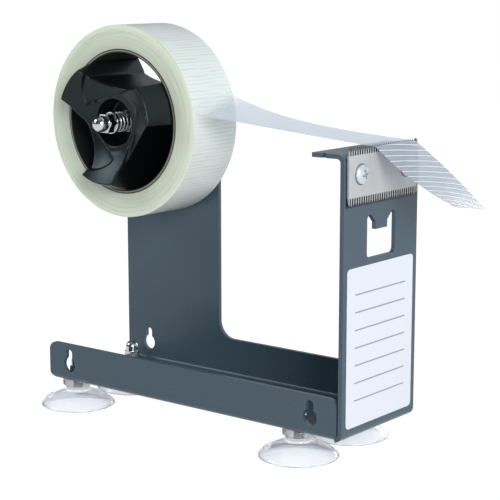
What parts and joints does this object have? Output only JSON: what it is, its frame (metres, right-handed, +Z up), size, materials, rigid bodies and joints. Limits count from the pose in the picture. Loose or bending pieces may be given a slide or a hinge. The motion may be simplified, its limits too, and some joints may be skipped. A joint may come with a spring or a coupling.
{
  "type": "desktop tape dispenser",
  "caption": "Desktop tape dispenser: folded sheet stand on suction-cup feet, tape roll on a winged hub with a spring brake, and a toothed cutter on a post.",
  "frame": {"origin": "on the desk, under the middle of the whole dispenser", "axes": "+X from the roll to the cutter, +Y from the front flange to the back wall, +Z up"},
  "size_m": [0.2635, 0.0882, 0.2166],
  "materials": {
    "frame_coat": "slate powder coat, satin",
    "hub_plastic": "black moulded plastic, satin",
    "core_paper": "wound paper board",
    "tape_film": "clear film with white glass strands",
    "zinc": "bright zinc plate",
    "spring_steel": "drawn wire",
    "blade_steel": "brushed",
    "label_paper": "white sticker, no print",
    "clear_vinyl": "clear soft vinyl"
  },
  "bodies": {
    "stand": {"frame": "frame_coat", "spindle_bolt": "zinc", "spindle_washer": "zinc", "spindle_jam_nut": "zinc", "thrust_washer": "zinc", "brake_spring": "spring_steel", "tape_web": "tape_film", "cutter_blade": "blade_steel", "blade_screws": "zinc", "blade_washers": "zinc", "blade_nuts": "zinc", "blank_label": "label_paper", "suction_cup_front_left": "clear_vinyl", "suction_cup_front_right": "clear_vinyl", "suction_cup_rear_left": "clear_vinyl", "suction_cup_rear_right": "clear_vinyl", "cup_studs": "zinc", "cup_washers": "zinc", "cup_dome_nuts": "zinc"},
    "roll": {"core_hub": "hub_plastic", "tape_core": "core_paper", "tape_roll": "tape_film", "brake_washer_inner": "zinc"},
    "brake_slider": {"brake_washer_outer": "zinc"},
    "brake_knob": {"brake_dome_nut": "zinc"}
  },
  "joints": [
    {"name": "roll_spin", "type": "hinge", "parent": "stand", "child": "roll", "pos_m": [-0.07845, 0, 0.1633], "axis": [0, 1, 0], "continuous": true},
    {"name": "brake_slide", "type": "slide", "parent": "stand", "child": "brake_slider", "axis": [0, 1, 0], "range_m": [0, 0.003], "deforming": ["brake_spring"]},
    {"name": "nut_turn", "type": "hinge", "parent": "brake_slider", "child": "brake_knob", "pos_m": [-0.07845, -0.025, 0.1633], "axis": [0, 1, 0], "range_deg": [0, 1080]}
  ],
  "couplings": [
    {"joint": "nut_turn", "follows": "brake_slide", "rad_per_m": 6283.2}
  ]
}
